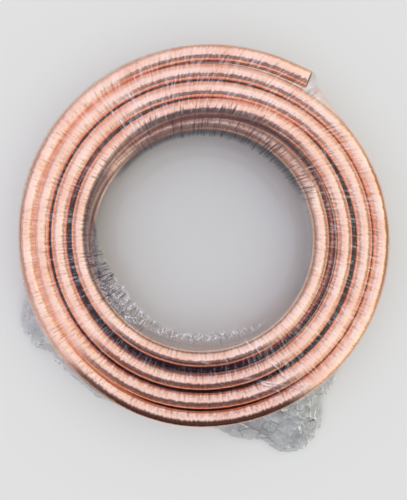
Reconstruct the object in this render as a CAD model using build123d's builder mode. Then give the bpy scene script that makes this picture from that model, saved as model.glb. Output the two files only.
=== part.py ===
import os
from math import asin, atan, atan2, cos, degrees, hypot, radians, sin, tan

from build123d import *

# Copper tube coil in clear shrink film, lying flat. Millimetres, +Z up, the origin on the
# coil's axis in the plane that it lies on. Seen from above the tube runs counter-clockwise:
# inward through the top layer, outward through the middle one and inward through the bottom one.

# Tube
tube_od = 22.225
tube_wall = 1.143
section_sides = 12

# Winding
turn_gap = 2.0
layer_gap = 0.3
outer_turn_radius = 243.0
top_half_turns = 8
last_top_arc = 130.0
bottom_half_turns = 6
bottom_start_azimuth = 326.0
groove_depth = 10.6
free_end_run = 48.0
free_end_azimuth = 66.0
hidden_bore_arc = 20.0
inner_crossover_spread = 8.0
inner_crossover_bend = 58.0

# Shrink film
film_thickness = 0.6
film_clearance = 0.3
flap_thickness = 9.0
flap_lift = 14.0
flap_corner = 14.0
tail_azimuth = 293.0
tail_reach = 64.0
tail_width = 160.0
tail_tip_width = 60.0
gather_azimuth = 207.0
gather_reach = 22.0
gather_width = 170.0
gather_tip_width = 90.0

# Derived
tube_radius = tube_od / 2
bore_radius = tube_radius - tube_wall
turn_pitch = tube_od + turn_gap
layer_rise = tube_od + layer_gap
centre_shift = turn_pitch / 4
end_x = outer_turn_radius + centre_shift
bottom_first_radius = outer_turn_radius - centre_shift
bottom_level = film_thickness + film_clearance + tube_radius
middle_level = bottom_level + layer_rise
top_level = middle_level + layer_rise
wrap_height = top_level + tube_radius + film_clearance + film_thickness
web_height = layer_rise + tube_radius - groove_depth


def turn_radius(first_radius, step, index):
    """Centreline radius of a half turn, counted from the first."""
    return first_radius + index * step


def turn_side(index):
    """+1 for a half turn that starts on the +X side of its layer, -1 for the other."""
    return 1 if index % 2 == 0 else -1


def joint_x(first_radius, step, index):
    """X of the tube's centreline where a half turn starts."""
    return turn_side(index) * (turn_radius(first_radius, step, index) - step / 2)


def tube_section(x, level):
    """The tube's section where it crosses the X axis, at one level of the winding."""
    with BuildSketch(Plane((x, 0, level), x_dir=(1, 0, 0), z_dir=(0, 1, 0))) as section:
        RegularPolygon(tube_radius, section_sides)
    return section.sketch


def wound_turns(first_radius, step, count, level, last_arc=180):
    """Half rings, each wider or narrower than the last by a step, that join into one run."""
    with BuildPart() as turns:
        for index in range(count):
            spindle = Axis((-turn_side(index) * step / 2, 0, 0), (0, 0, 1))
            section = tube_section(joint_x(first_radius, step, index), level)
            revolve(section, axis=spindle, revolution_arc=last_arc if index == count - 1 else 180)
    return turns.part


def turn_arc(first_radius, index):
    """Centreline of one half turn of the top or bottom layer."""
    side = turn_side(index)
    radius = turn_radius(first_radius, -turn_pitch / 2, index)
    return CenterArc((side * centre_shift, 0), radius, 0 if side > 0 else 180, 180)


def full_turn(first_radius, first_index):
    """Closed outline along one full turn of the top or bottom layer."""
    start_x = joint_x(first_radius, -turn_pitch / 2, first_index)
    next_x = joint_x(first_radius, -turn_pitch / 2, first_index + 2)
    with BuildSketch() as outline:
        with BuildLine():
            turn_arc(first_radius, first_index)
            turn_arc(first_radius, first_index + 1)
            Line((next_x, 0), (start_x, 0))
        make_face()
    return outline.sketch


def web_between(first_radius, count, height):
    """Closes a layer between its outermost and innermost turns, up from the middle level."""
    with BuildPart() as web:
        with BuildSketch(Plane.XY.offset(middle_level)):
            add(full_turn(first_radius, 0))
            add(full_turn(first_radius, count - 3), mode=Mode.SUBTRACT)
        extrude(amount=height)
    return web.part


def crossover_roll(reach, bend):
    """Roll of the plane of each arc of a crossover, at which the two arcs meet in one line.

    reach is the run's distance from its axis, and bend is the angle of each arc.
    """
    share = (1 - cos(radians(bend))) / 2
    half_drop = layer_rise / 2
    steepness = half_drop * (1 - share) / (share * hypot(reach, half_drop))
    return (asin(steepness) + atan2(half_drop, reach)) / 2


def crossover_turn(reach, bend):
    """Degrees round the axis that a crossover takes to step down one layer."""
    return 2 * degrees(atan(cos(crossover_roll(reach, bend)) * tan(radians(bend))))


def crossover(reach, bend, level):
    """Steps down one layer in two arcs, counter-clockwise from the +X side of its axis."""
    roll = crossover_roll(reach, bend)
    radius = layer_rise / 2 / (sin(roll) * (1 - cos(radians(bend))))
    centre = (reach - radius * cos(roll), 0, level - radius * sin(roll))
    middle = radians(crossover_turn(reach, bend) / 2)
    turnover = Axis((0, 0, level - layer_rise / 2), (cos(middle), sin(middle), 0))
    with BuildPart() as first_arc:
        spindle = Axis(centre, (-sin(roll), 0, cos(roll)))
        revolve(tube_section(reach, level), axis=spindle, revolution_arc=bend)
    with BuildPart() as run:
        add(first_arc.part)
        add(first_arc.part.rotate(turnover, 180))
    return run.part


# Top layer, with its straight free end cut square and open
with BuildPart() as top_layer:
    add(wound_turns(outer_turn_radius, -turn_pitch / 2, top_half_turns, top_level, last_top_arc))
    add(web_between(outer_turn_radius, top_half_turns, web_height))
    with BuildSketch(Plane((end_x, 0, top_level), x_dir=(1, 0, 0), z_dir=(0, -1, 0))):
        Circle(tube_radius)
    extrude(amount=free_end_run)
    with BuildSketch(Plane((end_x, 0, top_level), x_dir=(1, 0, 0), z_dir=(0, -1, 0))):
        Circle(bore_radius)
    extrude(amount=free_end_run, mode=Mode.SUBTRACT)

# Bottom layer, with the tube's other end open at the bore
with BuildPart() as bottom_layer:
    add(wound_turns(bottom_first_radius, -turn_pitch / 2, bottom_half_turns, bottom_level))
    add(web_between(bottom_first_radius, bottom_half_turns, -web_height))
    last_x = joint_x(bottom_first_radius, -turn_pitch / 2, bottom_half_turns)
    with BuildSketch(Plane((last_x, 0, bottom_level), x_dir=(1, 0, 0), z_dir=(0, 1, 0))):
        RegularPolygon(bore_radius, section_sides)
    last_spindle = Axis((turn_side(bottom_half_turns - 1) * centre_shift, 0, 0), (0, 0, -1))
    revolve(axis=last_spindle, revolution_arc=hidden_bore_arc, mode=Mode.SUBTRACT)

# Middle layer at the bore: the step down from the top layer and the first turn outward
inner_reach = turn_radius(outer_turn_radius, -turn_pitch / 2, top_half_turns - 1) + inner_crossover_spread
inner_start = Pos(-centre_shift, 0, 0) * Rot(0, 0, 180 + last_top_arc) * Pos(-inner_crossover_spread, 0, 0)
with BuildPart() as inner_run:
    add(crossover(inner_reach, inner_crossover_bend, top_level))
    first_turn = wound_turns(inner_reach + centre_shift, turn_pitch / 2, 2, middle_level)
    add(first_turn, rotation=(0, 0, crossover_turn(inner_reach, inner_crossover_bend)))

# Middle layer at the outside: its last turn, closed on itself where it steps down out of sight
with BuildPart() as outer_run:
    revolve(tube_section(outer_turn_radius, middle_level), axis=Axis.Z)

with BuildPart() as copper_tube:
    add(top_layer.part)
    add(bottom_layer.part, rotation=(0, 0, bottom_start_azimuth - free_end_azimuth))
    add(inner_start * inner_run.part)
    add(outer_run.part)


def wrap_hull(height, gap):
    """Tight convex bag round the winding and its free end, centred on its mid height."""
    margin = tube_radius + gap
    with BuildPart() as hull:
        with BuildSketch(Plane.XY.offset((wrap_height - height) / 2)):
            with BuildLine():
                CenterArc((centre_shift, 0), outer_turn_radius + margin, 0, 180)
                CenterArc((0, 0), outer_turn_radius + margin, 90, 270)
                Line((end_x - margin, -free_end_run - margin), (end_x + margin, -free_end_run - margin))
            make_hull()
        extrude(amount=height)
        rims = hull.edges().group_by(Axis.Z)
        chamfer(rims[0] + rims[-1], length=(2 - 2**0.5) * margin)
    return hull.part


def film_flap(azimuth, reach, width, tip_width):
    """A gathered flap of film that stands out from the side of the bag."""
    rim = outer_turn_radius + tube_radius
    with BuildPart() as flap:
        with BuildSketch(Plane.XY.offset(flap_lift)) as plan:
            with BuildLine():
                Polyline(
                    (rim - tube_od, -width / 2),
                    (rim + reach, -tip_width / 2),
                    (rim + reach, tip_width / 2),
                    (rim - tube_od, width / 2),
                    close=True,
                )
            make_face()
            fillet(plan.vertices().group_by(Axis.X)[-1], radius=flap_corner)
        extrude(amount=flap_thickness)
    return Rot(0, 0, azimuth - free_end_azimuth) * flap.part


# Shrink film: a tight closed bag with the gathered tail and the side gather of its seam
with BuildPart() as shrink_film:
    add(wrap_hull(wrap_height, film_clearance + film_thickness))
    add(film_flap(tail_azimuth, tail_reach, tail_width, tail_tip_width))
    add(film_flap(gather_azimuth, gather_reach, gather_width, gather_tip_width))
    add(wrap_hull(wrap_height - 2 * film_thickness, film_clearance), mode=Mode.SUBTRACT)

copper_tube.part = copper_tube.part.rotate(Axis.Z, free_end_azimuth)
shrink_film.part = shrink_film.part.rotate(Axis.Z, free_end_azimuth)
copper_tube.part.label = "copper_tube"
shrink_film.part.label = "shrink_film"
os.makedirs("parts", exist_ok=True)
export_step(copper_tube.part, "parts/copper_tube.step")
export_step(shrink_film.part, "parts/shrink_film.step")
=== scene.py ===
import math

import bmesh
import bpy
import numpy as np
from mathutils import Matrix, Vector, geometry, noise


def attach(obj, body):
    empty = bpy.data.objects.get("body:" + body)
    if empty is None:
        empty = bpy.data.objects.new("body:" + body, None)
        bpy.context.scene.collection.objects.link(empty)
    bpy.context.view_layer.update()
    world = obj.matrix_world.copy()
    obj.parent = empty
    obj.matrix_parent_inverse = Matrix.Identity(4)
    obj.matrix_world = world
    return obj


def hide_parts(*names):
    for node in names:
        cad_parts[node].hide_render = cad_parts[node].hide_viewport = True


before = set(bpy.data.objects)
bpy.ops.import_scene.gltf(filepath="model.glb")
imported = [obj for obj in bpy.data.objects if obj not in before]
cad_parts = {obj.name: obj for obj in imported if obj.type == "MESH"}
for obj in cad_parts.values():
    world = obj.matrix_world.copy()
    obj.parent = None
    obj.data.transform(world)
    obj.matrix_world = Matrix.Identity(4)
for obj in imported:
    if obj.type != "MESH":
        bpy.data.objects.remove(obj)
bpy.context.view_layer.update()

mm = 0.001


def srgb(code):  # sRGB hex to the linear colour that the nodes take
    parts = [int(code[i:i + 2], 16) / 255 for i in (1, 3, 5)]
    return [c / 12.92 if c <= 0.04045 else ((c + 0.055) / 1.055) ** 2.4 for c in parts] + [1.0]


def addNode(tree, kind, inputs=None, **settings):  # a node with its settings and links
    node = tree.nodes.new(kind)
    for name, value in settings.items():
        setattr(node, name, value)
    for socket, value in (inputs or {}).items():
        if isinstance(value, bpy.types.Node):
            value = value.outputs[0]
        if isinstance(value, bpy.types.NodeSocket):
            tree.links.new(value, node.inputs[socket])
        else:
            node.inputs[socket].default_value = value
    return node


def newMaterial(name):
    material = bpy.data.materials.new(name)
    material.use_nodes = True
    material.node_tree.nodes.clear()
    return material, material.node_tree


def addObject(name, mesh):
    obj = bpy.data.objects.new(name, mesh)
    bpy.context.scene.collection.objects.link(obj)
    return obj


def smoothStep(x):  # eases from 0 to 1
    x = np.clip(x, 0, 1)
    return x * x * (3 - 2 * x)


def fade(values, start, over):  # from 0 at the start to 1 past the stretch; one below zero runs the other way
    return smoothStep((values - start) / over)


def addMath(tree, operation, *values, **settings):
    return addNode(tree, "ShaderNodeMath", dict(enumerate(values)), operation=operation, **settings)


def span(limits):  # the limits that a Map Range node reads between
    return {"From Min": limits[0], "From Max": limits[1]}


def addRange(tree, value, limits, smooth=False):  # from 0 at the first limit to 1 at the second
    return addNode(tree, "ShaderNodeMapRange", {"Value": value, **span(limits)},
                   interpolation_type="SMOOTHSTEP" if smooth else "LINEAR")


# Camera: straight down, as the photo was taken, a little below the coil's middle
view = {"height": 634 * mm, "offset": -16.7 * mm, "lens": 31.2, "sensor": 36}

cameraData = bpy.data.cameras.new("Camera")
cameraData.sensor_fit = "VERTICAL"
cameraData.sensor_height = view["sensor"]
cameraData.lens = view["lens"]
camera = bpy.data.objects.new("Camera", cameraData)
camera.location = (0, view["offset"], view["height"])
bpy.context.scene.collection.objects.link(camera)
bpy.context.scene.camera = camera
bpy.context.scene.view_settings.view_transform = "Standard"
print("camera set")

# Soft drawn copper: bright, a little uneven in colour, with fine lines along the tube from the die
coilLook = {
    "bright": "#FBD5BD",
    "worn": "#F1BC9E",
    "tintSteps": (0.36, 0.62),  # of the clouds: worn up to the first, bright from the second
    "patch": 55 * mm,  # tarnish clouds
    "lowShade": "#A65C45",  # painted shade on the lower turns, seen between the top ones, which shade them
    "shadeBelow": (50 * mm, 47 * mm),  # the heights where it starts and where it is full
    "shadeInside": (240 * mm, 228 * mm),  # the same by distance from the axis, for the outer edge
    "shadeOutside": (165 * mm, 169 * mm),  # and for the inner edge
    "lineGap": 0.9 * mm,  # die lines, drawn coarse enough to show
    "lineLength": 250 * mm,
    "lineDepth": 0.1 * mm,
    "lineStrength": 0.15,
    "tickGap": 1.7 * mm,  # marks across the tube where the shrunk film clings to it
    "tickCells": 60,  # to a metre across the tube, so that each mark runs well round it
    "tilt": 0.5,  # how far they tip the reflection across the tube
    "roughness": (0.11, 0.26),
}

softCopper, tree = newMaterial("softDrawnCopper")
alongTube = addNode(tree, "ShaderNodeAttribute", attribute_name="alongTube")
clouds = addNode(tree, "ShaderNodeTexNoise", {"Vector": alongTube.outputs["Vector"],
                                              "Scale": 1 / coilLook["patch"], "Detail": 5, "Roughness": 0.6})
lineScale = (1 / coilLook["lineLength"], 1 / coilLook["lineGap"], 1 / coilLook["lineGap"])
lineCoords = addNode(tree, "ShaderNodeMapping", {"Vector": alongTube.outputs["Vector"], "Scale": lineScale})
dieLines = addNode(tree, "ShaderNodeTexNoise", {"Vector": lineCoords, "Scale": 1, "Detail": 2})
tint = addNode(tree, "ShaderNodeValToRGB", {"Fac": clouds})
for element, position, finish in zip(tint.color_ramp.elements, coilLook["tintSteps"], ("worn", "bright")):
    element.position = position
    element.color = srgb(coilLook[finish])
roughness = addNode(tree, "ShaderNodeMapRange", {"Value": dieLines, "From Min": 0.3, "From Max": 0.7,
                                                 "To Min": coilLook["roughness"][0],
                                                 "To Max": coilLook["roughness"][1]})
lineRelief = addNode(tree, "ShaderNodeBump", {"Height": dieLines, "Strength": coilLook["lineStrength"],
                                              "Distance": coilLook["lineDepth"]})
tickScale = (1 / coilLook["tickGap"], coilLook["tickCells"], coilLook["tickCells"])
tickCoords = addNode(tree, "ShaderNodeMapping", {"Vector": alongTube.outputs["Vector"], "Scale": tickScale})
ticks = addNode(tree, "ShaderNodeTexNoise", {"Vector": tickCoords, "Scale": 1, "Detail": 1, "Roughness": 0.6})
tipped = addMath(tree, "MULTIPLY_ADD", ticks, coilLook["tilt"], -coilLook["tilt"] / 2)
spot = addNode(tree, "ShaderNodeTexCoord")
fromAxis = addNode(tree, "ShaderNodeVectorMath", {0: spot.outputs["Object"], 1: (1, 1, 0)},
                   operation="MULTIPLY")
outward = addNode(tree, "ShaderNodeVectorMath", {0: fromAxis}, operation="NORMALIZE")
tip = addNode(tree, "ShaderNodeVectorMath", {0: outward, "Scale": tipped}, operation="SCALE")
tippedSum = addNode(tree, "ShaderNodeVectorMath", {0: lineRelief, 1: tip}, operation="ADD")
relief = addNode(tree, "ShaderNodeVectorMath", {0: tippedSum}, operation="NORMALIZE")
# painted shade: the copper is darkened in a ring under the top turns, where they shade it
spotParts = addNode(tree, "ShaderNodeSeparateXYZ", {"Vector": spot.outputs["Object"]})
away = addNode(tree, "ShaderNodeVectorMath", {0: fromAxis}, operation="LENGTH")
deep = addRange(tree, spotParts.outputs["Z"], coilLook["shadeBelow"])
inside = addRange(tree, away.outputs["Value"], coilLook["shadeInside"])
outside = addRange(tree, away.outputs["Value"], coilLook["shadeOutside"])
between = addMath(tree, "MULTIPLY", inside, outside)
shadedLow = addMath(tree, "MULTIPLY", deep, between)
colour = addNode(tree, "ShaderNodeMix", {0: shadedLow, 6: tint, 7: srgb(coilLook["lowShade"])},
                 data_type="RGBA")
skin = addNode(tree, "ShaderNodeBsdfPrincipled", {"Base Color": colour.outputs[2], "Metallic": 1.0,
                                                  "Roughness": roughness, "Normal": relief})
addNode(tree, "ShaderNodeOutputMaterial", {"Surface": skin})

# Copper tube: one tube that winds in through the top layer, out through the middle and in again
coil = {
    "points": 1090,
    "sides": 32,
    "tubeRadius": 22.225 / 2 * mm,
    "boreRadius": 19.939 / 2 * mm,
    "firstRadius": 249.06 * mm,
    "pitch": 24.225 * mm,
    "layerRise": 22.525 * mm,
    "topLevel": 57.0625 * mm,
    "startAngle": 66.0,  # the free end's last bend
    "leadAngle": 10.12,  # straight end, 44 mm
    "layerSpan": 1390.0,  # degrees of winding in the top and middle layers
    "bottomSpan": 1080.0,  # in the bottom layer
    "stepAngle": 125.0,  # degrees for a step down to the next layer
    "settleAngle": 90.0,  # degrees after it in which the squeezed turn widens again
    "squeeze": 4.0 * mm,
    "lowerInset": 6.0 * mm,
    "depth": 44 * mm,  # of the open bore
    "sawSkew": 0.14,  # the free end's cut, out of square
    "lip": 0.3 * mm,  # burr that the saw leaves
    "lipOuter": 0.975,  # the burr's outer edge, as a share of the tube's radius
    "lipInner": 0.012,  # the burr's inner edge, past the bore by this share of the tube's radius
    "sharpFrom": 35,  # degrees between faces that stay a hard edge
    # how far the top turns stray from an even spiral, in mm, by degrees of winding
    "stray": ((0, 0), (24, -2.6), (114, -7.0), (204, 5.5), (294, 6.3), (384, -2.8), (474, -1.8), (564, 5.9),
              (654, 8.0), (744, -2.2), (834, -1.4), (924, 5.1), (1014, 6.2), (1104, -0.8), (1194, -3.9),
              (1284, -1.0), (1390, 0)),
    "strayRange": 20,  # mm that the curve's whole height stands for, with none at its middle
}

windInputs = (("Points", "points"), ("Sides", "sides"), ("Tube Radius", "tubeRadius"),
              ("First Radius", "firstRadius"), ("Pitch", "pitch"), ("Layer Rise", "layerRise"),
              ("Top Level", "topLevel"), ("Start Angle", "startAngle"), ("Lead Angle", "leadAngle"),
              ("Layer Span", "layerSpan"), ("Bottom Span", "bottomSpan"), ("Step Angle", "stepAngle"),
              ("Settle Angle", "settleAngle"), ("Squeeze", "squeeze"), ("Lower Inset", "lowerInset"))
wound = bpy.data.node_groups.new("woundTube", "GeometryNodeTree")
wound.interface.new_socket("Geometry", in_out="OUTPUT", socket_type="NodeSocketGeometry")
sockets = {}
for title, size in windInputs:
    kind = "NodeSocketInt" if isinstance(coil[size], int) else "NodeSocketFloat"
    sockets[title] = wound.interface.new_socket(title, in_out="INPUT", socket_type=kind)
given = addNode(wound, "NodeGroupInput").outputs
index = addNode(wound, "GeometryNodeInputIndex")
lastIndex = addMath(wound, "SUBTRACT", given["Points"], 1)
share = addMath(wound, "DIVIDE", index, lastIndex)
bottomWinding = addMath(wound, "ADD", given["Bottom Span"], given["Lead Angle"])
winding = addMath(wound, "MULTIPLY_ADD", given["Layer Span"], 2, bottomWinding)
reached = addMath(wound, "MULTIPLY", share, winding)
angle = addMath(wound, "SUBTRACT", reached, given["Lead Angle"])
turned = addMath(wound, "MAXIMUM", angle, 0)
lead = addMath(wound, "MINIMUM", angle, 0)
inward = addMath(wound, "PINGPONG", turned, given["Layer Span"])
turns = addMath(wound, "DIVIDE", inward, 360)
closing = addMath(wound, "MULTIPLY", turns, given["Pitch"])
spiral = addMath(wound, "SUBTRACT", given["First Radius"], closing)
# steps down between the layers, and the room that the tube makes for itself there
firstEnd = addMath(wound, "ADD", given["Layer Span"], given["Step Angle"])
firstStep = addRange(wound, turned, (given["Layer Span"], firstEnd), smooth=True)
secondStart = addMath(wound, "MULTIPLY", given["Layer Span"], 2)
secondEnd = addMath(wound, "ADD", secondStart, given["Step Angle"])
secondStep = addRange(wound, turned, (secondStart, secondEnd), smooth=True)
steps = addMath(wound, "ADD", firstStep, secondStep)
drop = addMath(wound, "MULTIPLY", steps, given["Layer Rise"])
level = addMath(wound, "SUBTRACT", given["Top Level"], drop)
laterEnd = addMath(wound, "ADD", firstEnd, given["Settle Angle"])
laterStep = addRange(wound, turned, (firstEnd, laterEnd), smooth=True)
pinch = addMath(wound, "SUBTRACT", firstStep, laterStep)
pinched = addMath(wound, "MULTIPLY", pinch, given["Squeeze"])
insetStep = addRange(wound, turned, (laterEnd, secondStart), smooth=True)
inset = addMath(wound, "MULTIPLY", insetStep, given["Lower Inset"])
room = addMath(wound, "ADD", pinched, inset)
even = addMath(wound, "SUBTRACT", spiral, room)
# stray, as a curve over the top layer
topShare = addMath(wound, "DIVIDE", turned, given["Layer Span"], use_clamp=True)
strayCurve = addNode(wound, "ShaderNodeFloatCurve", {"Value": topShare})
points = strayCurve.mapping.curves[0].points
while len(points) < len(coil["stray"]):
    points.new(0.5, 0.5)
for point, (degrees, millimetres) in zip(points, coil["stray"]):
    point.location = (degrees / coil["layerSpan"], 0.5 + millimetres / coil["strayRange"])
strayCurve.mapping.update()
strayed = addMath(wound, "MULTIPLY_ADD", strayCurve, coil["strayRange"] * mm, -coil["strayRange"] / 2 * mm)
radius = addMath(wound, "ADD", even, strayed)
leadRadians = addMath(wound, "RADIANS", lead)
leadLength = addMath(wound, "MULTIPLY", leadRadians, given["First Radius"])
radial = addNode(wound, "ShaderNodeCombineXYZ", {"X": radius, "Y": leadLength})
bearing = addMath(wound, "ADD", turned, given["Start Angle"])
bearingRadians = addMath(wound, "RADIANS", bearing)
swung = addNode(wound, "ShaderNodeVectorRotate", {"Vector": radial, "Angle": bearingRadians},
                rotation_type="Z_AXIS")
lift = addNode(wound, "ShaderNodeCombineXYZ", {"Z": level})
place = addNode(wound, "ShaderNodeVectorMath", {0: swung, 1: lift}, operation="ADD")
line = addNode(wound, "GeometryNodeCurvePrimitiveLine", {"End": (1, 0, 0)})
dotted = addNode(wound, "GeometryNodeResampleCurve", {"Curve": line, "Count": given["Points"]})
path = addNode(wound, "GeometryNodeSetPosition", {"Geometry": dotted, "Position": place})
run = addNode(wound, "GeometryNodeSplineParameter")
pathNamed = addNode(wound, "GeometryNodeStoreNamedAttribute", {"Geometry": path, "Name": "runLength",
                                                               "Value": run.outputs["Length"]},
                    data_type="FLOAT")
ring = addNode(wound, "GeometryNodeCurvePrimitiveCircle", {"Resolution": given["Sides"],
                                                           "Radius": given["Tube Radius"]})
ringPlace = addNode(wound, "GeometryNodeInputPosition")
ringNamed = addNode(wound, "GeometryNodeStoreNamedAttribute", {"Geometry": ring, "Name": "ringPlace",
                                                               "Value": ringPlace}, data_type="FLOAT_VECTOR")
swept = addNode(wound, "GeometryNodeCurveToMesh", {"Curve": pathNamed, "Profile Curve": ringNamed})
runBack = addNode(wound, "GeometryNodeInputNamedAttribute", {"Name": "runLength"}, data_type="FLOAT")
ringBack = addNode(wound, "GeometryNodeInputNamedAttribute", {"Name": "ringPlace"}, data_type="FLOAT_VECTOR")
ringParts = addNode(wound, "ShaderNodeSeparateXYZ", {"Vector": ringBack})
straight = addNode(wound, "ShaderNodeCombineXYZ", {"X": runBack, "Y": ringParts.outputs["X"],
                                                   "Z": ringParts.outputs["Y"]})
named = addNode(wound, "GeometryNodeStoreNamedAttribute", {"Geometry": swept, "Name": "alongTube",
                                                           "Value": straight},
                data_type="FLOAT_VECTOR")
smooth = addNode(wound, "GeometryNodeSetShadeSmooth", {"Geometry": named})
whole = addNode(wound, "GeometryNodeRealizeInstances", {"Geometry": smooth})
painted = addNode(wound, "GeometryNodeSetMaterial", {"Geometry": whole, "Material": softCopper})
addNode(wound, "NodeGroupOutput", {0: painted})

maker = addObject("coilMaker", bpy.data.meshes.new("coilMaker"))
winder = maker.modifiers.new("wind", "NODES")
winder.node_group = wound
for title, size in windInputs:
    winder[sockets[title].identifier] = coil[size]
tubeMesh = bpy.data.meshes.new_from_object(maker.evaluated_get(bpy.context.evaluated_depsgraph_get()))
bpy.data.objects.remove(maker)


def openEnd(bm, loop, centre, outward, skew):  # a saw cut with a small lip, and the bore behind it
    along = bm.verts.layers.float_vector["alongTube"]
    for v in loop:
        v.co -= outward * (v.co.z - centre.z + coil["tubeRadius"]) * skew
    bore = coil["boreRadius"] / coil["tubeRadius"]
    sections = ((coil["lipOuter"], coil["lip"], 0), (bore + coil["lipInner"], coil["lip"], 0), (bore, 0, 1),
                (bore, -coil["depth"] / 2, 1), (bore, -coil["depth"], 1))
    previous = loop
    for scale, shift, slot in sections:
        ringVerts = []
        for source in loop:
            fresh = bm.verts.new(centre + (source.co - centre) * scale + outward * shift)
            fresh[along] = source[along]
            ringVerts.append(fresh)
        for i in range(len(loop)):
            j = (i + 1) % len(loop)
            face = bm.faces.new((previous[i], previous[j], ringVerts[j], ringVerts[i]))
            face.smooth = True
            face.material_index = slot
        previous = ringVerts
    bm.faces.new(previous).material_index = 1


boreLook = {"oxideAndShade": "#4A2A1E", "metallic": 0.6, "roughness": 0.5}
shadedBore, tree = newMaterial("shadedCopperBore")  # copper oxide, darkened further as painted shade inside the bore, where no light reaches
oxideAndShade = addNode(tree, "ShaderNodeBsdfPrincipled", {"Base Color": srgb(boreLook["oxideAndShade"]),
                                                   "Metallic": boreLook["metallic"],
                                                   "Roughness": boreLook["roughness"]})
addNode(tree, "ShaderNodeOutputMaterial", {"Surface": oxideAndShade})
tubeMesh.materials.append(shadedBore)
bm = bmesh.new()
bm.from_mesh(tubeMesh)
sides = coil["sides"]
rings = list(bm.verts)
freeEnd = (rings[:sides], rings[sides:2 * sides], coil["sawSkew"])
hiddenEnd = (rings[-sides:], rings[-2 * sides:-sides], 0)
for loop, behind, skew in (freeEnd, hiddenEnd):
    centre = sum((v.co for v in loop), Vector()) / sides
    outward = (centre - sum((v.co for v in behind), Vector()) / sides).normalized()
    openEnd(bm, loop, centre, outward, skew)
bmesh.ops.recalc_face_normals(bm, faces=bm.faces)
bm.to_mesh(tubeMesh)
bm.free()
tubeMesh.set_sharp_from_angle(angle=math.radians(coil["sharpFrom"]))
copperTube = addObject("copper_coil", tubeMesh)
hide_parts("copper_tube")
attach(copperTube, "root")
print("copper tube wound", len(tubeMesh.polygons))

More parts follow.
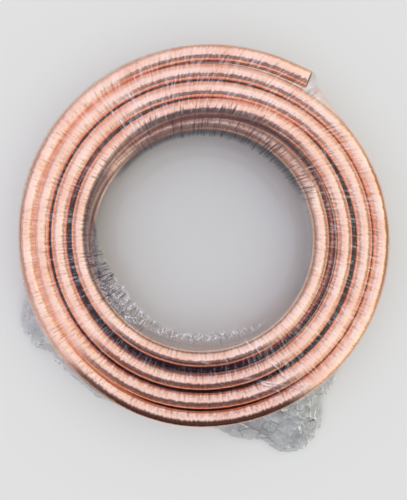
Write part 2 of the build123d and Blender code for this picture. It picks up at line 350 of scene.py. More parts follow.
# Shrink film: two clear sheets, drawn tight over the winding and sealed together round its side
bag = {
    "around": 720,  # points round each ring
    "clear": 0.35 * mm,  # film over the tube
    "under": 0.4 * mm,  # film over the floor
    "groove": 1.0 * mm,  # how far the film dips between two turns
    "grooveSide": (4 * mm, 8 * mm),  # where the dip starts, from a turn's middle, and its run
    "sag": 2.2 * mm,  # of the membrane over the hole
    "seamLevel": 31 * mm,
    "seamLean": 0.2,  # how much the hem follows the bottom layer and not the middle one
    "seamHalf": 0.5 * mm,  # half the sheets' distance where the hem starts
    "hemHalf": 0.1 * mm,  # and at its edge
    # painted highlight along the hem, as extra mirror gloss
    "hemSheen": 0.5,
    "fin": 2.0 * mm,  # the sealed hem
    "notch": (54.5, 0.55),  # bearing up to which the film draws in behind the free end, and its share
    "topTurns": (0, 720),  # degrees of winding that the film spans at the top
    "middleTurns": (-540, -20),  # at the middle, from where the bottom layer starts
    "bottomTurns": (60, 600),  # and at the bottom, from there too
    "lastCarry": 25,  # degrees past the top layer's end where its last turn still holds the film up
    "holeRings": (0.15, 0.3, 0.45, 0.6, 0.72, 0.82, 0.9, 0.96, 1.0),  # shares of the hole's edge
    "holeEdge": 122 * mm,
    "turnRings": 66,
    "shoulderRings": 6,
    "upperLevels": (52 * mm, 46 * mm, 40 * mm, 35 * mm),
    "lowerLevels": (26 * mm, 21 * mm, 16 * mm),
    "heelRings": 5,
    "bottomRings": (0.85, 0.7, 0.5, 0.3, 0.12),
    "poleInside": -150 * mm,  # the film's middle, from the last turn
    # pleats at the hole's edge, by bearing: from and to which distance from the axis in mm, strength of their
    # painted shade, glints, and painted shade over the turns with the distance that it ends at
    "pleats": (
        (0, 140, 148, 0.0, 0.0, 0.0, 146), (16, 137, 152, 0.2, 0.0, 0.2, 150),
        (24, 134, 166, 0.6, 0.0, 0.3, 158), (32, 131, 172, 0.8, 0.0, 0.4, 166),
        (60, 130, 178, 0.8, 0.0, 0.6, 170), (88, 131, 176, 0.8, 0.0, 0.6, 170),
        (118, 134, 172, 0.7, 0.0, 0.6, 168), (135, 140, 168, 0.6, 0.0, 0.65, 163),
        (150, 142, 164, 0.6, 0.0, 0.75, 161), (170, 143, 161, 0.6, 0.0, 0.75, 160),
        (184, 136, 160, 1.0, 0.2, 0.6, 159), (200, 127, 158, 1.3, 0.4, 0.45, 158),
        (212, 124, 156, 1.1, 0.8, 0.35, 155), (228, 125, 152, 0.6, 0.8, 0.3, 150),
        (242, 128, 146, 0.5, 0.6, 0.2, 146), (256, 128, 142, 0.4, 0.7, 0.2, 144),
        (272, 127, 140, 0.4, 0.8, 0.2, 144), (288, 128, 141, 0.3, 0.7, 0.2, 144),
        (302, 134, 144, 0.2, 0.4, 0.1, 144), (320, 140, 146, 0.0, 0.0, 0.0, 144),
        (360, 140, 148, 0.0, 0.0, 0.0, 146),
    ),
    "shadeNearest": 139,  # mm from the axis, with no shade inside it
    "shadeFades": (3 * mm, -4 * mm),  # at the shade's start and end
    "spared": 0.6,  # how much of the shade the last turn is spared
    # patches of the film: their limits by distance from the axis and by bearing, each with its fade
    "sparedPatch": {"to": (158 * mm, -3 * mm), "end": (150, -10)},
    # the hole's rim, where a painted shadow lies
    "rim": {"from": (131 * mm, 8 * mm), "to": (143 * mm, -2 * mm), "start": (18, 15), "end": (150, -15)},
    "rimShadow": 0.75,
    "calm": {"from": (243 * mm, 10 * mm), "start": (42, 6), "end": (66, -6)},
    "slant": 1.6,  # radians to a metre outwards that the wrinkles lean
    "slantFrom": 200 * mm,
    "slantBearing": 50,  # where they lean most
    # folds that stand up from the top sheet, in mm: x and y of both ends, half width, height, and the painted
    # highlight on the crest
    "folds": (
        (45, -184, 76, -188, 1.2, 0.8, 0.8), (76, -188, 108, -194, 1.4, 1.0, 1.0),
        (108, -194, 152, -200, 1.2, 0.9, 0.9), (66, -190, 100, -196, 1.0, 0.7, 0.8),
        (84, -194, 118, -199, 1.2, 0.8, 0.8), (112, -199, 158, -203, 1.0, 0.7, 0.8),
        (72, -188, 90, -198, 1.4, 0.8, 0.8), (86, -196, 100, -204, 1.4, 0.8, 0.8),
        (104, -186, 140, -192, 1.0, 0.6, 0.6), (118, -192, 136, -194, 2.2, 0.8, 0.4),
        (88, -164, 98, -173, 1.8, 1.0, 0.8), (98, -173, 110, -187, 2.2, 1.0, 0.8),
        (104, -162, 110, -170, 1.6, 0.8, 0.7), (96, -160, 101, -168, 1.4, 0.7, 0.6),
        (112, -158, 118, -166, 1.4, 0.7, 0.5), (64, -207, 77, -216, 1.4, 0.8, 0.6),
        (69, -144, 75, -157, 1.2, 0.8, 0.9), (54, -134, 62, -144, 1.2, 0.7, 0.7),
        (-5, -162, 10, -167, 1.4, 0.7, 0.7), (28, -158, 34, -170, 1.0, 0.6, 0.6),
        (-30, -226, -26, -236, 1.0, 0.5, 0.7), (12, -226, 16, -237, 1.0, 0.5, 0.6),
        (66, -220, 74, -232, 1.4, 0.7, 0.8), (22, -190, 28, -203, 1.0, 0.5, 0.5),
        (-101, 192, -84, 167, 1.3, 0.6, 0.9), (-122, 167, -101, 144, 1.2, 0.6, 0.7),
        (-96, 150, -88, 138, 1.2, 0.5, 0.7),
    ),
    "foldSharp": 1.5,  # power that narrows a fold's crest
    "foldEnds": 0.4,  # a fold's height at its ends, as a share
}

margin = coil["tubeRadius"] + bag["clear"]
filmTop = coil["topLevel"] + margin
bottomLevel = coil["topLevel"] - 2 * coil["layerRise"]
bottomStart = 2 * coil["layerSpan"]
azimuths = np.radians(np.arange(bag["around"]) * 360 / bag["around"])
bearings = np.degrees(azimuths)
around = np.stack((np.cos(azimuths), np.sin(azimuths)))
plain = np.zeros_like(azimuths)


def coilRadius(turned):  # the tube's distance from the axis, as the nodes above place it
    spanned = coil["layerSpan"]
    folded = np.abs((turned + spanned) % (2 * spanned) - spanned)
    radius = coil["firstRadius"] - coil["pitch"] * folded / 360
    stepped = spanned + coil["stepAngle"]
    pinch = fade(turned, spanned, coil["stepAngle"]) - fade(turned, stepped, coil["settleAngle"])
    late = stepped + coil["settleAngle"]
    inset = fade(turned, late, 2 * spanned - late)
    stray = np.interp(turned, *zip(*coil["stray"])) * mm
    return radius - pinch * coil["squeeze"] - inset * coil["lowerInset"] + stray * (turned < spanned)


def hullRadius(first, last, extra=()):  # the film's distance from the axis round one layer, which is convex
    outline = [Vector(p) for p in extra]
    for turned in range(int(first), int(last)):
        bearing = math.radians(turned + coil["startAngle"])
        reach = float(coilRadius(np.array([turned]))[0]) + margin
        outline.append(Vector((reach * math.cos(bearing), reach * math.sin(bearing))))
    ring = [outline[i] for i in geometry.convex_hull_2d(outline)]
    corners = np.array([math.atan2(p.y, p.x) for p in ring])
    slack = 0.001  # of an edge's length, so that no ray slips through a corner
    reached = []
    for bearing in azimuths:
        ray = Vector((math.cos(bearing), math.sin(bearing)))
        nearest = int(np.argmin(np.abs((corners - bearing + math.pi) % (2 * math.pi) - math.pi)))
        best = 0.0
        for j in range(nearest - 2, nearest + 2):  # the edges on both sides of the nearest corner
            p, q = ring[j % len(ring)], ring[(j + 1) % len(ring)]
            distance = (q - p).cross(p) / (q - p).cross(ray)
            where = (ray * distance - p).dot(q - p) / (q - p).length_squared
            if -slack <= where <= 1 + slack:
                best = max(best, distance)
        reached.append(best)
    return np.array(reached)


endCorners = []  # of the free end, which the film is drawn over
for across in (-margin, margin):
    endLength = math.radians(coil["leadAngle"]) * coil["firstRadius"]
    corner = Vector((coil["firstRadius"] + across, -endLength - bag["clear"]))
    corner.rotate(Matrix.Rotation(math.radians(coil["startAngle"]), 2))
    endCorners.append(corner)
ownWall = hullRadius(*bag["topTurns"])
topWall = hullRadius(*bag["topTurns"], endCorners)
notchBearing, notchShare = bag["notch"]
topWall = ownWall + (topWall - ownWall) * np.where(bearings < notchBearing, notchShare, 1.0)
middleWall = hullRadius(*(bottomStart + degrees for degrees in bag["middleTurns"]))
bottomWall = hullRadius(*(bottomStart + degrees for degrees in bag["bottomTurns"]))
leaning = middleWall * (1 - bag["seamLean"]) + bottomWall * bag["seamLean"]
seamWall = np.maximum(leaning, 0.5 * (topWall + bottomWall))

farOff = 9  # metres, where a turn that has ended is out of the way
turnedHere = (bearings - coil["startAngle"]) % 360
turnCentres = []
for turn in range(math.ceil(coil["layerSpan"] / 360)):
    turned = turnedHere + 360 * turn
    turnCentres.append(np.where(turned <= coil["layerSpan"] + bag["lastCarry"], coilRadius(turned), farOff))
turnCentres = np.array(turnCentres)
innermost = np.min(turnCentres, axis=0)


def topSheet(reach):  # height of the top sheet at one ring, its distance from a turn, and its painted highlight
    reach = np.broadcast_to(reach, azimuths.shape)
    gaps = reach - turnCentres
    nearest = np.take_along_axis(gaps, np.argmin(np.abs(gaps), axis=0)[None], 0)[0]
    dip = bag["groove"] * fade(np.abs(nearest), *bag["grooveSide"])
    hole = np.clip(1 - reach / innermost, 0, 1)
    dip = np.where(reach < innermost, bag["sag"] * (1 - (1 - hole) ** 3), dip)
    where = around * reach
    rise, paintedSheen = np.zeros_like(azimuths), np.zeros_like(azimuths)
    for x0, y0, x1, y1, half, high, pale in bag["folds"]:
        start, run = np.array([x0, y0]) * mm, np.array([x1 - x0, y1 - y0]) * mm
        along = np.clip(((where.T - start) @ run) / (run @ run), 0, 1)
        away = np.linalg.norm(where.T - start - along[:, None] * run, axis=1)
        crest = bag["foldEnds"] + (1 - bag["foldEnds"]) * np.sin(math.pi * along)
        ridge = np.clip(1 - away / (half * mm), 0, 1) ** bag["foldSharp"] * crest
        rise = np.maximum(rise, ridge * high * mm)
        paintedSheen = np.maximum(paintedSheen, ridge * pale)
    return filmTop - dip + rise, nearest, paintedSheen


rows = []  # (distance from the axis, height, distance from a turn, painted highlight) at each bearing


def addRow(reach, height, paintedSheen=0.0):  # a ring of the bag's side or underside
    rows.append((reach, plain + height, plain, plain + paintedSheen))


def addWall(levels, upper, lower):  # rings between two edges, each given by its distance and height
    for level in levels:
        share = (upper[1] - level) / (upper[1] - lower[1])
        addRow(upper[0] * (1 - share) + lower[0] * share, level)


shoulder = topWall - margin
for part in bag["holeRings"]:
    rows.append((np.full_like(azimuths, bag["holeEdge"] * part), *topSheet(bag["holeEdge"] * part)))
for i in range(1, bag["turnRings"] + 1):
    reach = bag["holeEdge"] + (shoulder - bag["holeEdge"]) * i / bag["turnRings"]
    rows.append((reach, *topSheet(reach)))
for i in range(1, bag["shoulderRings"] + 1):
    swing = math.pi / 2 * i / bag["shoulderRings"]
    addRow(shoulder + margin * math.sin(swing), coil["topLevel"] + margin * math.cos(swing))
addWall(bag["upperLevels"], (topWall, coil["topLevel"]), (seamWall, bag["seamLevel"]))
addRow(seamWall, bag["seamLevel"] + bag["seamHalf"])
addRow(seamWall + bag["fin"], bag["seamLevel"] + bag["hemHalf"], bag["hemSheen"])
topRows = len(rows)
addRow(seamWall + bag["fin"], bag["seamLevel"] - bag["hemHalf"], bag["hemSheen"])
addRow(seamWall, bag["seamLevel"] - bag["seamHalf"])
addWall(bag["lowerLevels"], (seamWall, bag["seamLevel"]), (bottomWall, bottomLevel))
for i in range(bag["heelRings"] + 1):
    swing = math.pi / 2 * i / bag["heelRings"]
    heel = bottomLevel - (bottomLevel - bag["under"]) * math.sin(swing)
    addRow(bottomWall - margin * (1 - math.cos(swing)), heel)
for part in bag["bottomRings"]:
    addRow((bottomWall - margin) * part, bag["under"])


def patch(limits, reach):  # 1 inside a patch of the film and 0 outside it
    inside = np.ones_like(azimuths)
    for side, values in (("from", reach), ("to", reach), ("start", bearings), ("end", bearings)):
        if side in limits:
            inside = inside * fade(values, *limits[side])
    return inside


bm = bmesh.new()
radialPlace = bm.verts.layers.float_vector.new("radialPlace")  # bearing's cosine and sine, distance out
turnPlace = bm.verts.layers.float_vector.new("turnPlace")  # from a turn, past the last one, painted highlight
pleatPlace = bm.verts.layers.float_vector.new("pleatPlace")  # past the start, before the end, strength
shadePlace = bm.verts.layers.float.new("shadePlace")  # painted shade over the turns near the hole, laid on through the film
rimShadowPlace = bm.verts.layers.float.new("rimShadowPlace")  # painted shadow at the hole's rim
glintPlace = bm.verts.layers.float.new("glintPlace")  # how strong the curled glints are
calmPlace = bm.verts.layers.float.new("calmPlace")  # 1 where the film is drawn flat round the free end
pleatTable = np.array(bag["pleats"])
pleatFrom, pleatTo, pleated, glinting, shaded, shadeTo = (
    np.interp(bearings, pleatTable[:, 0], pleatTable[:, column]) for column in range(1, 7))
shadeFrom = np.maximum(pleatFrom, bag["shadeNearest"])
fadeIn, fadeOut = bag["shadeFades"]
lean = bag["slant"] * np.maximum(0, np.cos(azimuths - math.radians(bag["slantBearing"])))
grid = []
for row, (reach, height, nearest, paintedSheen) in enumerate(rows):
    onTop = float(row < topRows)
    slanted = azimuths + lean * (reach - bag["slantFrom"])
    shade = shaded * fade(reach, shadeFrom * mm, fadeIn) * fade(reach, shadeTo * mm, fadeOut)
    shade = shade * (1 - bag["spared"] * patch(bag["sparedPatch"], reach)) * onTop
    rim = bag["rimShadow"] * patch(bag["rim"], reach) * onTop
    calm = patch(bag["calm"], reach)
    ringVerts = []
    for i in range(bag["around"]):
        v = bm.verts.new((reach[i] * around[0, i], reach[i] * around[1, i], height[i]))
        v[radialPlace] = (math.cos(slanted[i]), math.sin(slanted[i]), reach[i])
        v[turnPlace] = (nearest[i], reach[i] - innermost[i], paintedSheen[i])
        v[pleatPlace] = (reach[i] - pleatFrom[i] * mm, pleatTo[i] * mm - reach[i], pleated[i] * onTop)
        v[glintPlace] = glinting[i] * onTop
        v[shadePlace] = shade[i]
        v[rimShadowPlace] = rim[i]
        v[calmPlace] = calm[i]
        ringVerts.append(v)
    grid.append(ringVerts)
for row in range(len(grid) - 1):
    if row == topRows - 1:
        continue  # the two sheets meet in the hem
    for i in range(bag["around"]):
        j = (i + 1) % bag["around"]
        bm.faces.new((grid[row][i], grid[row + 1][i], grid[row + 1][j], grid[row][j])).smooth = True
for ringVerts, level in ((grid[0], filmTop - bag["sag"]), (grid[-1], bag["under"])):
    pole = bm.verts.new((0, 0, level))
    pole[turnPlace] = (0, bag["poleInside"], 0)
    for i in range(bag["around"]):
        bm.faces.new((ringVerts[i], ringVerts[(i + 1) % bag["around"]], pole)).smooth = True
bmesh.ops.recalc_face_normals(bm, faces=bm.faces)
bagMesh = bpy.data.meshes.new("film_bag")
bm.to_mesh(bagMesh)
bm.free()
filmBag = addObject("film_bag", bagMesh)

# Clear polyolefin: it gives the eye gloss, broken by hair wrinkles across the turns, with painted highlights
# on its creases and painted shade in its hairs and pleats
filmLook = {
    "hairs": 70,  # hair wrinkles to a radian, 3.5 mm apart on the outer turn
    "hairsOut": 55,  # and to a metre outwards
    "hairInside": (-20 * mm, 0.0),  # where they set in at the last turn
    "hairCrest": (1 * mm, 8 * mm),  # from a turn's middle, where they are faint, to its side
    "crestShare": 0.25,
    "calmShare": 0.1,  # what is left of them where the film is drawn flat
    "paleHair": (0.52, 0.64),  # which of them carry a painted sheen, as limits of their noise
    "paleStrength": 0.25,
    "darkHair": (0.48, 0.36),
    "darkStrength": 0.28,
    "reliefDepth": 0.8 * mm,
    "tears": 70,  # pleats of painted shade at the hole's edge, to a radian
    "tearsOut": 30,  # and to a metre outwards
    "tearCut": (0.5, 0.6),
    "tearStart": (0.0, 3 * mm),  # fades at their two ends
    "tearEnd": (0.0, 8 * mm),
    "ragged": 60,  # unevenness of their ends, to a radian
    "raggedIn": 14 * mm,  # how much it shifts each end
    "raggedOut": 40 * mm,
    "pleatShade": "#5F4240",  # the painted shade that the pleats and dark hairs lay over what is under them
    "passedRimShadow": "#464B5A",  # and the painted shadow at the hole's rim
    "curl": 5 * mm,  # size of the curled glints
    "curlLine": (0.03, 0.008),  # their edge and their core, as limits of the noise
    "glintStart": (-3 * mm, 1 * mm),
    "glintEnd": (2 * mm, 8 * mm),
    "ior": 1.5,
    "gloss": 1.0,
    "calmGloss": 0.2,
    "mostGloss": 0.4,
    "creaseSheen": 0.75,
    "roughness": 0.1,
}

clearFilm, tree = newMaterial("clearPolyolefinFilm")
place = addNode(tree, "ShaderNodeAttribute", attribute_name="radialPlace")
turn = addNode(tree, "ShaderNodeAttribute", attribute_name="turnPlace")
turnParts = addNode(tree, "ShaderNodeSeparateXYZ", {"Vector": turn.outputs["Vector"]})
hairScale = (filmLook["hairs"], filmLook["hairs"], filmLook["hairsOut"])
hairCoords = addNode(tree, "ShaderNodeMapping", {"Vector": place.outputs["Vector"], "Scale": hairScale})
hair = addNode(tree, "ShaderNodeTexNoise", {"Vector": hairCoords, "Scale": 1, "Detail": 3, "Roughness": 0.75})
onTurns = addRange(tree, turnParts.outputs["Y"], filmLook["hairInside"], smooth=True)
fromTurn = addMath(tree, "ABSOLUTE", turnParts.outputs["X"])
offTop = addNode(tree, "ShaderNodeMapRange", {"Value": fromTurn, **span(filmLook["hairCrest"]),
                                              "To Min": filmLook["crestShare"]})
calm = addNode(tree, "ShaderNodeAttribute", attribute_name="calmPlace")
wrinkled = addNode(tree, "ShaderNodeMapRange", {"Value": calm.outputs["Fac"], "To Min": 1.0,
                                                "To Max": filmLook["calmShare"]})
hairSomewhere = addMath(tree, "MULTIPLY", onTurns, offTop)
hairDepth = addMath(tree, "MULTIPLY", hairSomewhere, wrinkled)
wrinkles = addMath(tree, "MULTIPLY", hair, hairDepth)
relief = addNode(tree, "ShaderNodeBump", {"Height": wrinkles, "Strength": 0.5,
                                          "Distance": filmLook["reliefDepth"]})
# pale hairs: a painted sheen, as extra mirror gloss along some wrinkles
paleHair = addRange(tree, hair, filmLook["paleHair"])
paleShare = addMath(tree, "MULTIPLY", paleHair, hairDepth)
# painted shade: dark pleats round the hole's edge, and the shade over the turns beside them
pleat = addNode(tree, "ShaderNodeAttribute", attribute_name="pleatPlace")
pleatParts = addNode(tree, "ShaderNodeSeparateXYZ", {"Vector": pleat.outputs["Vector"]})
tearScale = (filmLook["tears"], filmLook["tears"], filmLook["tearsOut"])
tearCoords = addNode(tree, "ShaderNodeMapping", {"Vector": place.outputs["Vector"], "Scale": tearScale})
tear = addNode(tree, "ShaderNodeTexNoise", {"Vector": tearCoords, "Scale": 1, "Detail": 3, "Roughness": 0.7})
raggedScale = (filmLook["ragged"], filmLook["ragged"], 0)
raggedCoords = addNode(tree, "ShaderNodeMapping", {"Vector": place.outputs["Vector"], "Scale": raggedScale})
ragged = addNode(tree, "ShaderNodeTexNoise", {"Vector": raggedCoords, "Scale": 1, "Detail": 3,
                                              "Roughness": 0.7})
raggedIn = addMath(tree, "MULTIPLY_ADD", ragged, filmLook["raggedIn"], -filmLook["raggedIn"] / 2)
pastStart = addMath(tree, "ADD", pleatParts.outputs["X"], raggedIn)
raggedOut = addMath(tree, "MULTIPLY_ADD", ragged, filmLook["raggedOut"], -filmLook["raggedOut"] / 2)
beforeEnd = addMath(tree, "ADD", pleatParts.outputs["Y"], raggedOut)
tearIn = addRange(tree, pastStart, filmLook["tearStart"], smooth=True)
tearOut = addRange(tree, beforeEnd, filmLook["tearEnd"], smooth=True)
tearBand = addMath(tree, "MULTIPLY", tearIn, tearOut)
tearCut = addRange(tree, tear, filmLook["tearCut"])
tearHere = addMath(tree, "MULTIPLY", tearCut, tearBand)
tearStrong = addMath(tree, "MULTIPLY", tearHere, pleatParts.outputs["Z"])
shade = addNode(tree, "ShaderNodeAttribute", attribute_name="shadePlace")
tearShare = addMath(tree, "MAXIMUM", tearStrong, shade.outputs["Fac"])
# painted shade: fine dark hairs across the turns, in the film's wrinkles
darkHair = addRange(tree, hair, filmLook["darkHair"])
darkShare = addMath(tree, "MULTIPLY", darkHair, hairDepth)
darkSome = addMath(tree, "MULTIPLY_ADD", darkShare, filmLook["darkStrength"], tearShare, use_clamp=True)
passed = addNode(tree, "ShaderNodeMix", {0: darkSome, 6: srgb("#FFFFFF"), 7: srgb(filmLook["pleatShade"])},
                 data_type="RGBA")
# painted shadow round the hole's rim
rim = addNode(tree, "ShaderNodeAttribute", attribute_name="rimShadowPlace")
passedRimShadow = addNode(tree, "ShaderNodeMix", {0: rim.outputs["Fac"], 6: passed.outputs[2],
                                            7: srgb(filmLook["passedRimShadow"])}, data_type="RGBA")
# curled glints, as thin contours of a noise
glintCoords = addNode(tree, "ShaderNodeTexCoord")
glintNoise = addNode(tree, "ShaderNodeTexNoise", {"Vector": glintCoords.outputs["Object"],
                                                  "Scale": 1 / filmLook["curl"], "Detail": 2})
glintAway = addMath(tree, "SUBTRACT", glintNoise, 0.5)
glintClose = addMath(tree, "ABSOLUTE", glintAway)
glintLine = addRange(tree, glintClose, filmLook["curlLine"])
glintIn = addRange(tree, pastStart, filmLook["glintStart"], smooth=True)
glintOut = addRange(tree, pleatParts.outputs["Y"], filmLook["glintEnd"], smooth=True)
glintBand = addMath(tree, "MULTIPLY", glintIn, glintOut)
glintGiven = addNode(tree, "ShaderNodeAttribute", attribute_name="glintPlace")
glintHere = addMath(tree, "MULTIPLY", glintBand, glintGiven.outputs["Fac"])
glint = addMath(tree, "MULTIPLY", glintHere, glintLine)
# clear film and its mirror gloss, mixed by how much each spot reflects
through = addNode(tree, "ShaderNodeBsdfTransparent", {"Color": passedRimShadow.outputs[2]})
mirror = addNode(tree, "ShaderNodeBsdfPrincipled", {"Base Color": srgb("#FFFFFF"), "Metallic": 1.0,
                                                    "Roughness": filmLook["roughness"], "Normal": relief})
fresnel = addNode(tree, "ShaderNodeFresnel", {"IOR": filmLook["ior"], "Normal": relief})
glossHere = addNode(tree, "ShaderNodeMapRange", {"Value": calm.outputs["Fac"], "To Min": filmLook["gloss"],
                                                 "To Max": filmLook["calmGloss"]})
amount = addMath(tree, "MULTIPLY", fresnel, glossHere)
hairAmount = addMath(tree, "MULTIPLY_ADD", paleShare, filmLook["paleStrength"], amount)
gloss = addMath(tree, "MINIMUM", hairAmount, filmLook["mostGloss"])
# painted highlights: on the folds' crests, the hem and the glints the film turns to mirror
paintedSheen = addMath(tree, "MAXIMUM", turnParts.outputs["Z"], glint)
creased = addMath(tree, "MULTIPLY_ADD", paintedSheen, filmLook["creaseSheen"], gloss, use_clamp=True)
surface = addNode(tree, "ShaderNodeMixShader", {0: creased, 1: through, 2: mirror})
addNode(tree, "ShaderNodeOutputMaterial", {"Surface": surface})
bagMesh.materials.append(clearFilm)
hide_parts("shrink_film")
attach(filmBag, "root")
print("film bag drawn", len(bagMesh.polygons))

# Gathers: where the spare film at the seam has shrunk into a crumpled tail, and a smaller one at the left
gathers = (
    # the outline is its edge's distance from the axis in mm, by bearing
    {"name": "film_tail", "foot": 5 * mm, "crumple": 0.26, "fold": 17 * mm, "seed": 3.0,
     "rows": 110, "columns": 250,
     "outline": ((269, 266), (274, 276), (278.2, 290), (281.6, 297), (286.1, 305), (289.7, 328), (293.5, 338),
                 (297.4, 335), (301.8, 322), (304.9, 302), (306.6, 286), (309, 287), (311.5, 283),
                 (315.6, 274), (320, 262))},
    {"name": "film_gather", "foot": 10 * mm, "crumple": 0.24, "fold": 10 * mm, "seed": 8.0,
     "rows": 60, "columns": 260,
     "outline": ((186, 262), (192, 267), (197.9, 271), (199.5, 279), (202.7, 287), (206.9, 295), (209, 290),
                 (211.6, 293), (213, 289), (215.2, 279), (217, 274), (219.5, 278), (222.3, 276), (227.2, 275),
                 (232, 274), (237, 276), (241, 272), (246, 262))},
)
crumpling = {
    "bend": 0.4,  # how far the facets' edges wander, in facets
    "bendPace": 0.6,
    "bendSeed": 1795982341,  # without one the wander would change with each run
    "creaseWidth": 0.14,  # in facets
    "facetStep": 3.7,  # through the noise from one facet's shade to the next
    "halfStep": 1.9,  # and between the halves of one facet
    "fineScale": 2.3,  # how many small facets there are to a large one
    "fineShift": (5, 0, 0),
    "fineHeight": 0.35,
    "waver": 2 * mm,  # of the outline
    "waverPace": 0.8,  # to a degree
    "tuck": 1.5 * mm,  # how far the gather starts behind the bag's side
    "rise": 6 * mm,  # over which the crumpling grows outwards
    "sink": 2 * mm,
    "lowest": 1 * mm,
    "rimWidth": 1.6 * mm,  # the painted highlight along the edge
    "rimRise": 5 * mm,
    "rimPale": 0.8,
    "finePale": 0.5,
    "cloud": 14 * mm,  # of brighter and fainter painted highlights on the creases
    # weights of the painted shade on large and small facets, and the level it starts from
    "largeDark": 0.9,
    "fineDark": 0.6,
    "darkFrom": 0.35,
}
crumpledLook = {"clear": "#FBFCFD", "shadedFacet": "#E6EAEF", "roughness": 0.12, "gloss": 1.1, "creaseSheen": 0.75}

crumpled, tree = newMaterial("crumpledPolyolefinFilm")  # clear where it is flat, with painted highlights along its creases and painted shade on some facets
crease = addNode(tree, "ShaderNodeAttribute", attribute_name="creasePlace")
creaseParts = addNode(tree, "ShaderNodeSeparateXYZ", {"Vector": crease.outputs["Vector"]})
crumpledPassed = addNode(tree, "ShaderNodeMix", {0: creaseParts.outputs["Y"], 6: srgb(crumpledLook["clear"]),
                                                 7: srgb(crumpledLook["shadedFacet"])}, data_type="RGBA")
crumpledThrough = addNode(tree, "ShaderNodeBsdfTransparent", {"Color": crumpledPassed.outputs[2]})
crumpledMirror = addNode(tree, "ShaderNodeBsdfPrincipled", {"Base Color": srgb("#FFFFFF"), "Metallic": 1.0,
                                                            "Roughness": crumpledLook["roughness"]})
crumpledFresnel = addNode(tree, "ShaderNodeFresnel", {"IOR": filmLook["ior"]})
crumpledGloss = addMath(tree, "MULTIPLY", crumpledFresnel, crumpledLook["gloss"])
crumpledAmount = addMath(tree, "MULTIPLY_ADD", creaseParts.outputs["X"], crumpledLook["creaseSheen"],
                         crumpledGloss, use_clamp=True)
crumpledSurface = addNode(tree, "ShaderNodeMixShader", {0: crumpledAmount, 1: crumpledThrough,
                                                        2: crumpledMirror})
addNode(tree, "ShaderNodeOutputMaterial", {"Surface": crumpledSurface})


def facets(point):  # a crumpled sheet's height, 1 on its creases and less beside them, and a facet's painted shade
    bent = point + noise.noise_vector(point * crumpling["bendPace"]) * crumpling["bend"]
    distances, centres = noise.voronoi(bent, distance_metric="MANHATTAN")
    away = bent - centres[0]
    crease = max(0.0, 1 - (distances[1] - distances[0]) / crumpling["creaseWidth"])
    half = Vector((1 if away.x > 0 else 0, 1 if away.y > 0 else 0, 0))
    shade = noise.noise(centres[0] * crumpling["facetStep"] + half * crumpling["halfStep"])
    return distances[0], crease, 0.5 + shade


def gatherPoint(gather, degrees, out):  # a point of a gather, and its painted highlight and painted shade there
    bearing = math.radians(degrees)
    wall = float(np.interp(bearing, azimuths, seamWall))
    edge = float(np.interp(degrees, *zip(*gather["outline"]))) * mm - wall
    waver = noise.noise(Vector((degrees * crumpling["waverPace"], gather["seed"], 0)))
    edge += crumpling["waver"] * waver * out
    reach = wall - crumpling["tuck"] + edge * out
    x, y = reach * math.cos(bearing), reach * math.sin(bearing)
    where = Vector((x, y, 0)) / gather["fold"] + Vector((0, 0, gather["seed"]))
    large, largeCrease, largeShade = facets(where)
    fine, fineCrease, fineShade = facets(where * crumpling["fineScale"] + Vector(crumpling["fineShift"]))
    height = (large + fine * crumpling["fineHeight"]) * gather["crumple"] * gather["fold"]
    height *= min(1, edge * out / crumpling["rise"])
    level = bag["seamLevel"] * (1 - out) + gather["foot"] * out
    rim = max(0.0, 1 - (1 - out) * edge / crumpling["rimWidth"]) * min(1, edge / crumpling["rimRise"])
    bright = 0.5 + noise.noise(Vector((x, y, 0.3)) / crumpling["cloud"])
    pale = max(largeCrease * bright, crumpling["finePale"] * fineCrease * bright, crumpling["rimPale"] * rim)
    dark = largeShade * crumpling["largeDark"] + fineShade * crumpling["fineDark"] - crumpling["darkFrom"]
    spot = (x, y, max(level + height - crumpling["sink"], crumpling["lowest"]))
    return spot, (min(pale, 1), min(max(0.0, dark), 1), 0)


def addGather(gather):
    bm = bmesh.new()
    creasePlace = bm.verts.layers.float_vector.new("creasePlace")  # painted highlight, and painted shade
    first, last = gather["outline"][0][0], gather["outline"][-1][0]
    grid = []
    for row in range(gather["rows"] + 1):
        ringVerts = []
        for column in range(gather["columns"] + 1):
            degrees = first + (last - first) * column / gather["columns"]
            spot, crease = gatherPoint(gather, degrees, row / gather["rows"])
            v = bm.verts.new(spot)
            v[creasePlace] = crease
            ringVerts.append(v)
        grid.append(ringVerts)
    for row in range(gather["rows"]):
        for column in range(gather["columns"]):
            bm.faces.new((grid[row][column], grid[row + 1][column], grid[row + 1][column + 1],
                          grid[row][column + 1])).smooth = True
    mesh = bpy.data.meshes.new(gather["name"])
    bm.to_mesh(mesh)
    bm.free()
    mesh.materials.append(crumpled)
    piece = addObject(gather["name"], mesh)
    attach(piece, "root")
    return piece


noise.seed_set(crumpling["bendSeed"])
gatherPieces = [addGather(gather) for gather in gathers]
print("gathers crumpled")

# Floor: plain and pale, so that it gives the eye only the coil's soft shadow
floorLook = {"colour": "#DCDBD3", "size": 6.0, "roughness": 0.9, "specular": 0.2}
floorMesh = bpy.data.meshes.new("floor")
half = floorLook["size"] / 2
floorMesh.from_pydata([(-half, -half, 0), (half, -half, 0), (half, half, 0), (-half, half, 0)], [],
                      [(0, 1, 2, 3)])
floor = addObject("floor", floorMesh)
paper, tree = newMaterial("mattePaper")
matte = addNode(tree, "ShaderNodeBsdfPrincipled", {"Base Color": srgb(floorLook["colour"]),
                                                   "Roughness": floorLook["roughness"],
                                                   "Specular IOR Level": floorLook["specular"]})
addNode(tree, "ShaderNodeOutputMaterial", {"Surface": matte})
floorMesh.materials.append(paper)

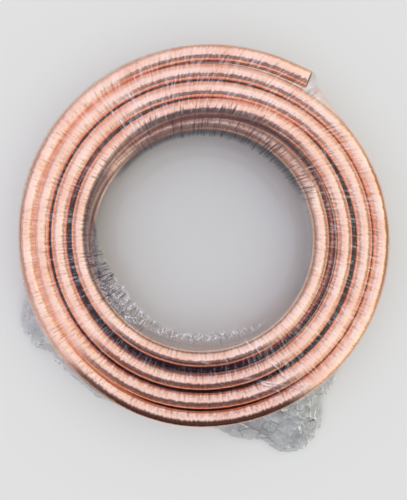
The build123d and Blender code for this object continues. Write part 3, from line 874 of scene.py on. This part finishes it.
# Studio: a pale dome, a little cooler at the left, and warmer and dimmer towards the horizon
dome = {"level": 1.5, "left": "#D8DAEC", "right": "#EBF0EA", "low": "#B59A84", "climb": (0.0, 0.55),
        "across": (-0.1, 0.7)}
world = bpy.data.worlds.new("studio")
world.use_nodes = True
tree = world.node_tree
tree.nodes.clear()
bpy.context.scene.world = world
skyward = addNode(tree, "ShaderNodeTexCoord")
skyParts = addNode(tree, "ShaderNodeSeparateXYZ", {"Vector": skyward.outputs["Generated"]})
climb = addRange(tree, skyParts.outputs["Z"], dome["climb"], smooth=True)
rightward = addRange(tree, skyParts.outputs["X"], dome["across"], smooth=True)
highSky = addNode(tree, "ShaderNodeMix", {0: rightward, 6: srgb(dome["left"]), 7: srgb(dome["right"])},
                  data_type="RGBA")
skyColour = addNode(tree, "ShaderNodeMix", {0: climb, 6: srgb(dome["low"]), 7: highSky.outputs[2]},
                    data_type="RGBA")
lighting = addNode(tree, "ShaderNodeBackground", {"Color": skyColour.outputs[2], "Strength": dome["level"]})
addNode(tree, "ShaderNodeOutputWorld", {"Surface": lighting})

# soft-edged standing panels that glow, only for the bright metal and film to mirror: in front, right and
# left.
# dark and pale are the heights up to which the foot's colour holds and from which the head's does; the darker
# foot is painted shade
screenCells = 40  # of the mesh, each way
screens = (
    {"name": "front_screen", "start": (-0.52, -0.42), "end": (0.36, -0.42), "top": 1.3, "soft": 0.14,
     "tall": 0.3, "foot": "#3A2018", "head": "#827C90", "dark": 0.3, "pale": 0.6, "cover": 1.0},
    {"name": "side_screen", "start": (1.5, -0.75), "end": (1.5, 1.2), "top": 1.5, "soft": 0.5, "tall": 0.6,
     "foot": "#6A4430", "head": "#A87C60", "dark": 0.1, "pale": 1.0, "cover": 0.75},
    {"name": "left_screen", "start": (-1.5, -0.9), "end": (-1.5, 1.4), "top": 2.0, "soft": 0.6, "tall": 0.9,
     "foot": "#6E5E66", "head": "#8C7E88", "dark": 0.3, "pale": 1.2, "cover": 0.45},
)


def addScreen(screen):
    bm = bmesh.new()
    cover = bm.verts.layers.float_vector.new("cover")  # how dense, and how pale
    start, end = Vector(screen["start"]), Vector(screen["end"])
    length = (end - start).length
    grid = []
    for j in range(screenCells + 1):
        height = screen["top"] * j / screenCells
        pale = float(fade(height, screen["dark"], screen["pale"] - screen["dark"]))
        line = []
        for i in range(screenCells + 1):
            spot = start + (end - start) * i / screenCells
            side = min(i, screenCells - i) / screenCells * length
            dense = float(fade(side, 0, screen["soft"]) * fade(height, screen["top"], -screen["tall"]))
            v = bm.verts.new((spot.x, spot.y, height))
            v[cover] = (dense * screen["cover"], pale, 0)
            line.append(v)
        grid.append(line)
    for j in range(screenCells):
        for i in range(screenCells):
            bm.faces.new((grid[j][i], grid[j][i + 1], grid[j + 1][i + 1], grid[j + 1][i]))
    mesh = bpy.data.meshes.new(screen["name"])
    bm.to_mesh(mesh)
    bm.free()
    glowPanel, tree = newMaterial(screen["name"] + "Glow")
    glowPanel.cycles.emission_sampling = "NONE"  # it glows only to be mirrored, and lights nothing
    coverNode = addNode(tree, "ShaderNodeAttribute", attribute_name="cover")
    coverParts = addNode(tree, "ShaderNodeSeparateXYZ", {"Vector": coverNode.outputs["Vector"]})
    # painted shade: each panel glows darker towards its foot and paler up to its head
    tone = addNode(tree, "ShaderNodeMix", {0: coverParts.outputs["Y"], 6: srgb(screen["foot"]),
                                           7: srgb(screen["head"])}, data_type="RGBA")
    glow = addNode(tree, "ShaderNodeEmission", {"Color": tone.outputs[2]})
    clear = addNode(tree, "ShaderNodeBsdfTransparent")
    surface = addNode(tree, "ShaderNodeMixShader", {0: coverParts.outputs["X"], 1: clear, 2: glow})
    addNode(tree, "ShaderNodeOutputMaterial", {"Surface": surface})
    mesh.materials.append(glowPanel)
    piece = addObject(screen["name"], mesh)
    piece.visible_camera = False
    piece.visible_shadow = False
    piece.visible_diffuse = False


for screen in screens:
    addScreen(screen)
print("floor and light set")
